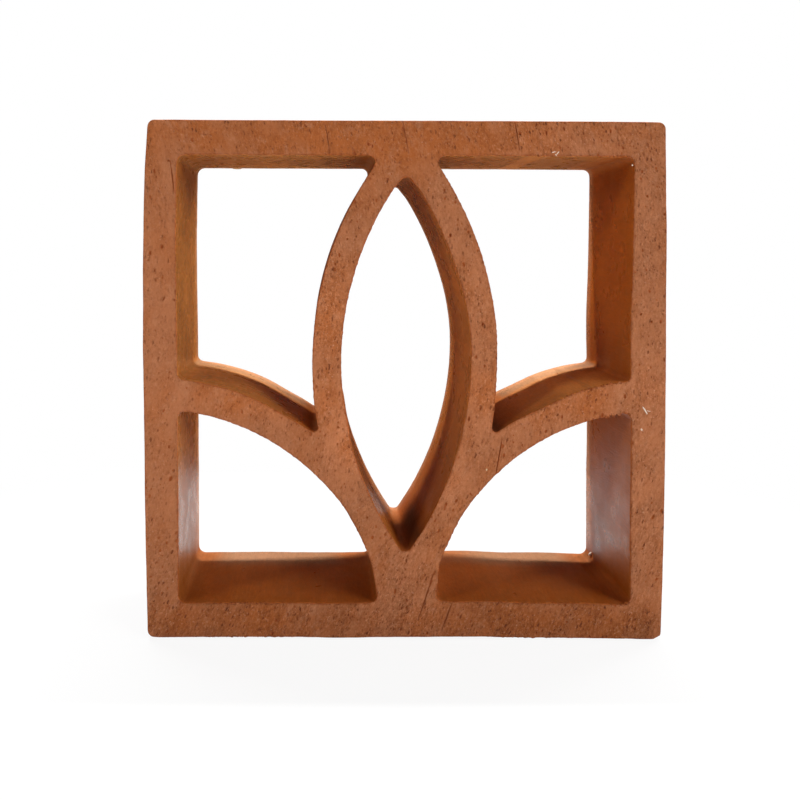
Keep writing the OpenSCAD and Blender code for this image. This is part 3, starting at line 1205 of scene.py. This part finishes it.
# %% Helpers for the walls
def outer_skin(tree, x, z):
    """1 on the beds and the outer sides of the block, 0 on the walls of its openings."""
    half = block_w / 2
    beside = remap(tree, maths(tree, "ABSOLUTE", x), half - 8 * MM, half - 6 * MM)
    under = remap(tree, z, 5 * MM, 3 * MM)
    over = remap(tree, z, block_h - 5 * MM, block_h - 3 * MM)
    return maths(tree, "MAXIMUM", beside, maths(tree, "MAXIMUM", under, over))


def painted_ledge_light_share(tree, y, shade):
    """Painted light where the lamp above lights the backs of ledges, less in painted shade."""
    normal = tree.nodes.new("ShaderNodeNewGeometry").outputs["Normal"]
    level = remap(tree, split_axes(tree, normal)["Z"], 0.3, 0.8)
    behind = remap(tree, y, 8 * MM, 20 * MM, 0.0, 0.62)
    return times(tree, level, behind, remap(tree, shade, -0.25, 0.0, 0.25, 1.0))


def shaded(tree, colour, shade, y):
    """A colour with painted light and painted shade: the light counts most at the back, the shade
    most in front.
    """
    lighter = maths(tree, "MAXIMUM", shade, 0.0)
    lighter = times(tree, lighter, remap(tree, y, 0.0, 22 * MM, 0.7, 1.1))
    darker = maths(tree, "MINIMUM", shade, 0.0)
    darker = times(tree, darker, remap(tree, y, 0.0, 22 * MM, 1.0, 0.4))
    return scaled(tree, colour, plus(tree, plus(tree, lighter, darker), 1.0))


def skin_colour(tree, place, crumbs, lines):
    """The plain clay of the beds and the outer sides."""
    colour = place_group(tree, "kiln_colour", vector=place, mottle=0.12)
    colour = scaled(tree, colour, remap(tree, crumbs, 0.3, 0.7, 0.66, 1.04))
    return scaled(tree, colour, remap(tree, lines, 0.25, 0.75, 0.93, 1.03))


def wall_roughness(tree, place, shade, outside, worn):
    """Polished in cloudy patches; duller where the clay is gritty, torn or worn, or has painted
    shade.
    """
    torn_here = carried(tree, "torn")
    polish = remap(tree, cloud(tree, place, 9 * MM, 2.0), 0.3, 0.7, 0.22, 0.35)
    polish = times_plus(tree, carried(tree, "grit"), 0.2, polish)
    polish = plus(tree, polish, remap(tree, torn_here, 0.25, 0.6, 0.0, 0.4))
    polish = plus(tree, polish, remap(tree, shade, 0.0, -0.4, 0.0, 0.35))
    polish = times_plus(tree, outside, 0.25, polish)
    return times_plus(tree, worn, times_plus(tree, torn_here, 0.5, 0.35), polish)


print("wall helpers ready")

# %% Finish the walls
PRESSED_CLAY = {
    "body": (0.36, 0.096, 0.014, 1),
    "warm": (0.35, 0.084, 0.01, 1),
    "pale": (0.4, 0.122, 0.026, 1),
}
PALE_FLASH = (0.48, 0.173, 0.037, 1)
EMBER = (0.38, 0.08, 0.003, 1)
# Painted light: the paler colour of the ledge backs that the lamp above lights
PAINTED_LEDGE_LIGHT = (0.3, 0.19, 0.112, 1)
# Painted light: the paler colour of the walls' back rim, where light from behind falls
PAINTED_BACK_LIGHT = (0.52, 0.23, 0.105, 1)
WALL_PORE = (0.12, 0.03, 0.008, 1)
WORN_WALL = (0.42, 0.12, 0.03, 1)


def finish_wall_clay():
    """Pressed and polished clay with flashes, painted light and shade, faint lines and fine grain.
    """
    tree, surface, place = open_material(wall_clay)
    x, y, z = split_axes(tree, place)
    shade = carried(tree, "shade")

    # Pale flashes and embers, and painted light on the ledges and on the back rim
    drawn = vectors(tree, "MULTIPLY", place, (1, 0.2, 1))
    upper = remap(tree, z, 16 * MM, 24 * MM)
    # Painted light from behind on the back rim of the walls
    painted_back_light_share = times(tree, remap(tree, y, 21 * MM, 28 * MM, 0.0, 0.7), upper)
    colour = layered(
        tree,
        place_group(tree, "kiln_colour", vector=drawn, mottle=0.07, **PRESSED_CLAY),
        (carried(tree, "flash"), PALE_FLASH),
        (carried(tree, "ember"), EMBER),
        (painted_ledge_light_share(tree, y, shade), PAINTED_LEDGE_LIGHT),
        (painted_back_light_share, PAINTED_BACK_LIGHT),
    )
    # Painted light and shade, from the shade that the slice carries
    colour = shaded(tree, colour, shade, y)

    # Lines and grain from the die
    lines = place_group(tree, "streaks", vector=place, width=0.9 * MM, length=(1, 0.03, 1))
    colour = scaled(tree, colour, remap(tree, lines, 0.25, 0.75, 0.95, 1.05))
    grain = cloud(tree, drawn, 0.7 * MM, 4.0, 0.8)
    colour = scaled(tree, colour, remap(tree, grain, 0.2, 0.8, 0.82, 1.18))

    # The plainer skin outside, then pores, worn edges and crumbs
    outside = outer_skin(tree, x, z)
    crumbs = cloud(tree, place, 1.3 * MM, 4.0, 0.75)
    pores = speckle(tree, place, 3.0, 0.3, 0.35)
    worn = wear(tree, place, 1.2 * MM)
    colour = layered(
        tree,
        colour,
        (outside, skin_colour(tree, place, crumbs, lines)),
        (times(tree, pores, 0.5), WALL_PORE),
        (times(tree, worn, 0.6), WORN_WALL),
        (torn_crumbs_and_lip_shadow(tree, place), CRUMB_AND_LIP_SHADOW),
    )
    tree.links.new(colour, surface.inputs["Base Color"])

    # Height and polish
    height = times_plus(tree, lines, 0.05, times(tree, grain, 0.14))
    height = times_plus(tree, pores, -0.1, height)
    raise_surface(tree, surface, plus(tree, times(tree, crumbs, outside, 0.5), height))
    roughness = wall_roughness(tree, place, shade, outside, worn)
    tree.links.new(roughness, surface.inputs["Roughness"])


finish_wall_clay()
print("wall clay:", len(wall_clay.node_tree.nodes), "nodes")

# %% [markdown]
# ## The finish inside the pits
# Inside a pit the clay was broken and not smeared, so it's rough and darker red.

# %% Finish the pits
BROKEN_CLAY = {
    "body": (0.32, 0.078, 0.019, 1),
    "warm": (0.34, 0.08, 0.016, 1),
    "pale": (0.38, 0.11, 0.034, 1),
}


def finish_pit_clay():
    """Rough, broken clay."""
    tree, surface, place = open_material(pit_clay, 0.95)
    colour = place_group(tree, "kiln_colour", vector=place, patch_size=3 * MM, **BROKEN_CLAY)
    tree.links.new(colour, surface.inputs["Base Color"])
    raise_surface(tree, surface, times(tree, cloud(tree, place, 0.2 * MM, 2.0), 0.08))


finish_pit_clay()
print("pit clay:", len(pit_clay.node_tree.nodes), "nodes")

# %% [markdown]
# ## Grains of lime and chips
# Bits of limestone in the clay burn to lime in the kiln. A few lie in the front face as
# white specks, one of them drawn out to a scratch by the wire, and two lie low in the
# bottom openings. Three pale buff chips sit on the back edges of the openings, and a
# small one shows in the front face. Each has a place, a size and a lean of its own, so a
# list gives them, and one tree sets an uneven grain on every point. They are sunk half
# into the clay and held inside the block's box.

# %% A tree that sets grains on points
def grain_tree():
    """A tree that sets an uneven grain on each point."""
    sockets = {
        "Points": "Geometry", "Shake": 0.0004, "Box Low": "Vector", "Box High": "Vector",
        "Finish": "Material",
    }
    tree, given, result = new_tree("set_grains", "Geometry", sockets, {"Grains": "Geometry"})
    ball = add(tree, "GeometryNodeMeshIcoSphere", {"Radius": 1.0, "Subdivisions": 3}).outputs[0]
    turn = named(tree, "turn", "FLOAT_VECTOR")
    turn = add(tree, "FunctionNodeEulerToRotation", {0: turn}).outputs[0]
    size = named(tree, "size", "FLOAT_VECTOR")
    fills = {"Points": given["Points"], "Instance": ball, "Rotation": turn, "Scale": size}
    placed = add(tree, "GeometryNodeInstanceOnPoints", fills).outputs[0]
    real = add(tree, "GeometryNodeRealizeInstances", {0: placed}).outputs[0]
    place = add(tree, "GeometryNodeInputPosition").outputs[0]
    fills = {"Vector": place, "Scale": 1 / (0.8 * MM), "Detail": 3.0}
    noise = add(tree, "ShaderNodeTexNoise", fills)
    shake = vectors(tree, "SUBTRACT", noise.outputs["Color"], (0.5, 0.5, 0.5))
    moved = vectors(tree, "ADD", place, scaled(tree, shake, given["Shake"]))
    moved = vectors(tree, "MAXIMUM", moved, given["Box Low"])
    moved = vectors(tree, "MINIMUM", moved, given["Box High"])
    uneven = add(tree, "GeometryNodeSetPosition", {"Geometry": real, "Position": moved}).outputs[0]
    tree.links.new(painted(tree, uneven, given["Finish"]), result[0])
    return tree


print("grain tree:", len(grain_tree().nodes), "nodes")

# %% Where the lime and the chips are
LIME = [  # (x, y, z, half width, half depth, half length, lean in degrees), lengths in mm
    (92.3, -29.85, 88.9, 0.26, 0.3, 1.75, -33),
    (93.7, -29.85, 88.7, 0.11, 0.2, 0.8, -75),
    (91.0, -29.8, 81.5, 0.36, 0.4, 0.4, 0),
    (56.4, -29.85, 188.0, 0.16, 0.3, 0.85, 80),
    (57.9, -29.85, 187.6, 0.18, 0.3, 0.75, 35),
    (57.2, -29.85, 186.9, 0.2, 0.3, 0.5, -40),
    (86.6, -29.8, 183.1, 0.26, 0.35, 0.32, 0),
    (-70.5, -2.6, 13.9, 0.4, 0.4, 0.25, 0),
    (86.4, 20.5, 16.6, 0.5, 0.9, 1.0, 30),
]
CHIPS = [
    (87.3, 29.3, 110.2, 0.75, 1.0, 4.8, -3),
    (-70.3, 29.4, 186.6, 2.3, 0.9, 0.55, 0),
    (87.4, 29.5, 51.5, 0.4, 0.7, 1.2, 0),
    (31.4, -29.85, 65.9, 0.35, 0.3, 0.4, 20),
]


print("lime specks:", len(LIME), "and chips:", len(CHIPS))

# %% Set the lime and the chips
def set_grains(name, grains, finish):
    """One mesh with an uneven grain at each place of a list."""
    rows = np.array(grains) * ([MM] * 6 + [math.pi / 180])
    mesh = new_mesh(name, rows[:, :3])
    carry(mesh, "size", rows[:, 3:6])
    level = np.zeros(len(rows))
    carry(mesh, "turn", np.column_stack([level, rows[:, 6], level]))
    piece = new_object(name, mesh)
    use_tree(piece, trees["set_grains"], {**box, "Finish": finish})
    to_plain_mesh(piece)
    return piece


print("lists of grains:", len(LIME), "and", len(CHIPS))

# %% Finish the lime and the chips
CHALK, STAINED_CHALK = (0.8, 0.72, 0.62, 1), (0.66, 0.5, 0.38, 1)
BUFF, SHADED_BUFF = (0.6, 0.45, 0.27, 1), (0.5, 0.3, 0.15, 1)


def finish_lime(material, colour, shade):
    """Chalky white or buff, cloudy and rough."""
    tree, surface, place = open_material(material)
    clouds = remap(tree, cloud(tree, place, 0.6 * MM, 4.0, 0.7), 0.35, 0.65)
    tree.links.new(blend_colours(tree, clouds, colour, shade), surface.inputs["Base Color"])
    raise_surface(tree, surface, times(tree, cloud(tree, place, 0.25 * MM, 3.0), 0.1))


lime, chip_clay = map(new_material, ("lime", "chip_clay"))
finish_lime(lime, CHALK, STAINED_CHALK)
finish_lime(chip_clay, BUFF, SHADED_BUFF)
lime_specks = set_grains("lime_specks", LIME, lime)
edge_chips = set_grains("edge_chips", CHIPS, chip_clay)
print("faces of lime and chips:", [len(p.data.polygons) for p in (lime_specks, edge_chips)])

# %% [markdown]
# ## The floor and the white background
# The block stands on a pale table, which ends 230 mm behind the block's middle, in front
# of plain white. The table is a real floor: it bounces light up into the openings. Where
# only the picture matters, the Light Path node makes the table and the world plain
# white, at strength 1, for what the camera sees, for what shines in a smooth surface and
# for what shows through glass. Near the block a tenth of the lit table stays, which keeps
# a faint shadow that fades outwards. The world gives no light of its own. A black board
# behind the table, which only reflections see, keeps the white background from veiling
# the upper walls, as a black flag does in a studio.

# %% Build the table
FLOOR_REACH = 1.4
FLOOR_BACK = 0.23
SHADOW_SHARE = 0.1
SHADOW_START, SHADOW_END = 0.13, 0.3
WHITE = (1, 1, 1, 1)


def seen_directly(tree):
    """1 for rays from the camera, from a shiny surface or through glass."""
    path = tree.nodes.new("ShaderNodeLightPath").outputs
    shiny = maths(tree, "MAXIMUM", path["Is Camera Ray"], path["Is Glossy Ray"])
    return maths(tree, "MAXIMUM", shiny, path["Is Transmission Ray"])


def board(name, corners, material):
    """A flat board with four corners, which isn't part of the block."""
    mesh = new_mesh(name, corners, faces=[(0, 1, 2, 3)])
    mesh.materials.append(material)
    piece = new_object(name, mesh)
    return piece


def make_floor():
    """A table that lights the block, and looks plain white."""
    material = new_material("table_white")
    tree = material.node_tree
    tree.nodes.clear()
    lit = add(tree, "ShaderNodeBsdfDiffuse", {"Color": (0.8, 0.8, 0.8, 1)}).outputs[0]
    white = add(tree, "ShaderNodeEmission", {"Color": WHITE, "Strength": 1.0}).outputs[0]
    away = vectors(tree, "LENGTH", tree.nodes.new("ShaderNodeTexCoord").outputs["Object"])
    near = remap(tree, away, SHADOW_START, SHADOW_END, SHADOW_SHARE, 0.0)
    share = times(tree, seen_directly(tree), minus(tree, 1.0, near))
    mixed = add(tree, "ShaderNodeMixShader", {0: share, 1: lit, 2: white}).outputs[0]
    add(tree, "ShaderNodeOutputMaterial", {"Surface": mixed})
    x, front, back = FLOOR_REACH, -FLOOR_REACH, FLOOR_BACK
    board("table_top", [(-x, front, 0), (x, front, 0), (x, back, 0), (-x, back, 0)], material)


make_floor()
print("table from y =", -FLOOR_REACH, "to", FLOOR_BACK, "m")

# %% Build the world and the black flag
FLAG_GAP, FLAG_FOOT, FLAG_TOP = 0.02, -0.4, 1.5


def make_world():
    """A world that gives no light, and looks plain white."""
    world = bpy.data.worlds.new("studio")
    bpy.context.scene.world = world
    world.use_nodes = True
    tree = world.node_tree
    tree.nodes.clear()
    dark, white = (
        add(tree, "ShaderNodeBackground", {"Color": WHITE, "Strength": strength}).outputs[0]
        for strength in (0.0, 1.0)
    )
    fills = {0: seen_directly(tree), 1: dark, 2: white}
    mixed = add(tree, "ShaderNodeMixShader", fills).outputs[0]
    add(tree, "ShaderNodeOutputWorld", {"Surface": mixed})


def make_flag():
    """A black board that only reflections see, behind the table."""
    material = new_material("flag_black")
    cloth = material.node_tree.nodes["Principled BSDF"].inputs
    cloth["Base Color"].default_value = (0.01, 0.01, 0.01, 1)
    cloth["Roughness"].default_value = 1.0
    x, y, foot, top = FLOOR_REACH, FLOOR_BACK + FLAG_GAP, FLAG_FOOT, FLAG_TOP
    flag = board("black_flag", [(-x, y, foot), (x, y, foot), (x, y, top), (-x, y, top)], material)
    for ray in ("camera", "diffuse", "transmission", "shadow", "volume_scatter"):
        setattr(flag, "visible_" + ray, False)


make_flag()
make_world()
print("flag from z =", FLAG_FOOT, "to", FLAG_TOP, "m")

# %% [markdown]
# ## Light
# A long narrow lamp hangs over the block and a little behind it. It draws the bright
# bands on the back of every ledge. Two lamps in front on the right light the face and
# the walls that look that way, and one in front on the left lights the others. They
# are small for their distance, so the shadows in the corners have fairly sharp edges.
# Weak lamps on the right and behind the block fill the shadows inside the openings.

# %% Hang the lamps
middle = Vector((0, 0, block_h / 2))


def round_block(azimuth, elevation, distance):
    """A place round the block's middle: azimuth 0 is in front, 90 on the right."""
    a, e = math.radians(azimuth), math.radians(elevation)
    way = Vector((math.sin(a) * math.cos(e), -math.cos(a) * math.cos(e), math.sin(e)))
    return middle + way * distance


def hang_lamp(name, place, size, brightness):
    """A lamp that faces the block: brightness 1 lights a surface as its colour is written."""
    light = bpy.data.lights.new(name, "AREA")
    light.shape = "RECTANGLE"
    light.size, light.size_y = size
    distance = (middle - place).length
    light.energy = brightness * math.pi**2 * distance**2
    way = (middle - place).to_track_quat("-Z", "Y")
    new_object(name, light).matrix_world = Matrix.Translation(place) @ way.to_matrix().to_4x4()


LAMPS = [  # (name, azimuth, elevation, distance, size, brightness)
    ("strip_above", 180, 78.5, 1.0, (0.9, 0.03), 1.95),
    ("front_right", 38, 19, 1.6, (0.4, 0.4), 0.33),
    ("front_right_high", 50, 41, 1.6, (0.5, 0.5), 0.22),
    ("side_right", 65, 15, 1.6, (0.3, 0.3), 0.07),
    ("right", 95, 25, 1.6, (0.6, 0.6), 0.17),
    ("front_left", -55, 27, 1.6, (0.3, 0.3), 0.21),
    ("back_right", 122, 30, 1.4, (0.4, 0.4), 0.3),
    ("back_right_high", 150, 50, 1.4, (0.4, 0.4), 0.07),
    ("back_left_high", -145, 48, 1.4, (0.4, 0.4), 0.07),
]
for name, azimuth, elevation, distance, size, brightness in LAMPS:
    hang_lamp(name, round_block(azimuth, elevation, distance), size, brightness)
print("lamps:", [lamp[0] for lamp in LAMPS])

# %% [markdown]
# ## The camera
# The camera stands 350 mm in front of the front face, a little left of the middle and
# three quarters of the way up, and looks almost straight ahead. The lens is shifted
# instead of tilted, which keeps the upright edges upright.

# %% Place the camera
camera = bpy.data.cameras.new("camera")
camera.lens = 41.12
camera.sensor_width = 36.0
camera.shift_x = 0.0903
camera.shift_y = -0.1723
view = new_object("camera", camera)
view.location = (-32.1 * MM, low.y - 349.8 * MM, 150.6 * MM)
view.rotation_euler = (math.radians(90 - 0.83), math.radians(-0.21), math.radians(-0.34))
bpy.context.scene.camera = view
bpy.context.scene.view_settings.view_transform = "Standard"
print("camera at, mm:", [round(c / MM, 1) for c in view.location])

# %% [markdown]
# ## Tie the pieces to the frame
# The clay rides on the frame's only body and stands for its CAD node.

# %% Tie the pieces to the frame and finish
for piece in (block, lime_specks, edge_chips):
    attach(piece, "root")
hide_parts(NODE)
